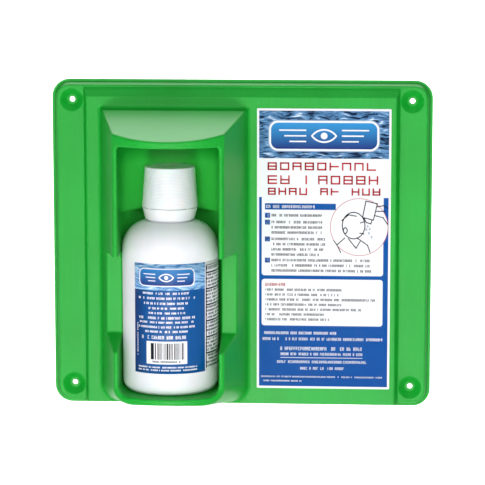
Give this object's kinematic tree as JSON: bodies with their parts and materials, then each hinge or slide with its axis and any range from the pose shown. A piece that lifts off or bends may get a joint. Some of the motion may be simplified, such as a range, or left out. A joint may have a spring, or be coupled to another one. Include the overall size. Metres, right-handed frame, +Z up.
{
  "type": "wall-mounted eyewash station",
  "caption": "Green moulded wall board whose hooded cradle holds an upright squeeze bottle of eyewash with a capped eyecup, beside a printed instruction sheet.",
  "frame": {"origin": "centre of the four screw holes, on the wall plane", "axes": "+Z up, +Y into the wall, the station faces -Y, +X to the right as seen from the front"},
  "size_m": [0.3, 0.09, 0.26],
  "materials": {
    "panel_green": "satin, vacuum-formed sheet",
    "sign_print": "printed, satin laminate",
    "bottle_white": "blow-moulded, soft sheen",
    "wrap_print": "printed, gloss laminate",
    "clear_liquid": "clear water-like liquid",
    "band_white": "moulded",
    "liner_foam": "expanded foam washer",
    "eyecup_white": "moulded",
    "insert_white": "moulded",
    "cap_translucent": "moulded, slightly translucent"
  },
  "bodies": {
    "board": {"station_panel": "panel_green", "instruction_label": "sign_print"},
    "bottle": {"bottle": "bottle_white", "bottle_label": "wrap_print", "eyewash_solution": "clear_liquid"},
    "tamper_band": {"tamper_band": "band_white"},
    "seal_liner": {"seal_liner": "liner_foam"},
    "closure": {"eyecup_closure": "eyecup_white", "flow_insert": "insert_white"},
    "dust_cap": {"dust_cap": "cap_translucent"}
  },
  "joints": [
    {"name": "bottle_pull", "type": "slide", "parent": "board", "child": "bottle", "axis": [0, -1, 0], "range_m": [0, 0.11]},
    {"name": "band_turn", "type": "hinge", "parent": "bottle", "child": "tamper_band", "pos_m": [-0.0533, -0.044, 0.0285], "axis": [0, 0, 1], "continuous": true},
    {"name": "closure_rise", "type": "slide", "parent": "bottle", "child": "seal_liner", "axis": [0, 0, 1], "range_m": [0, 0.00424]},
    {"name": "closure_turn", "type": "hinge", "parent": "seal_liner", "child": "closure", "pos_m": [-0.0533, -0.044, 0.0425], "axis": [0, 0, 1], "range_deg": [0, 360]},
    {"name": "dust_cap_lift", "type": "slide", "parent": "closure", "child": "dust_cap", "axis": [0, 0, 1], "range_m": [0, 0.012]}
  ],
  "couplings": [
    {"joint": "closure_rise", "follows": "closure_turn", "m_per_rad": 0.00067322}
  ]
}
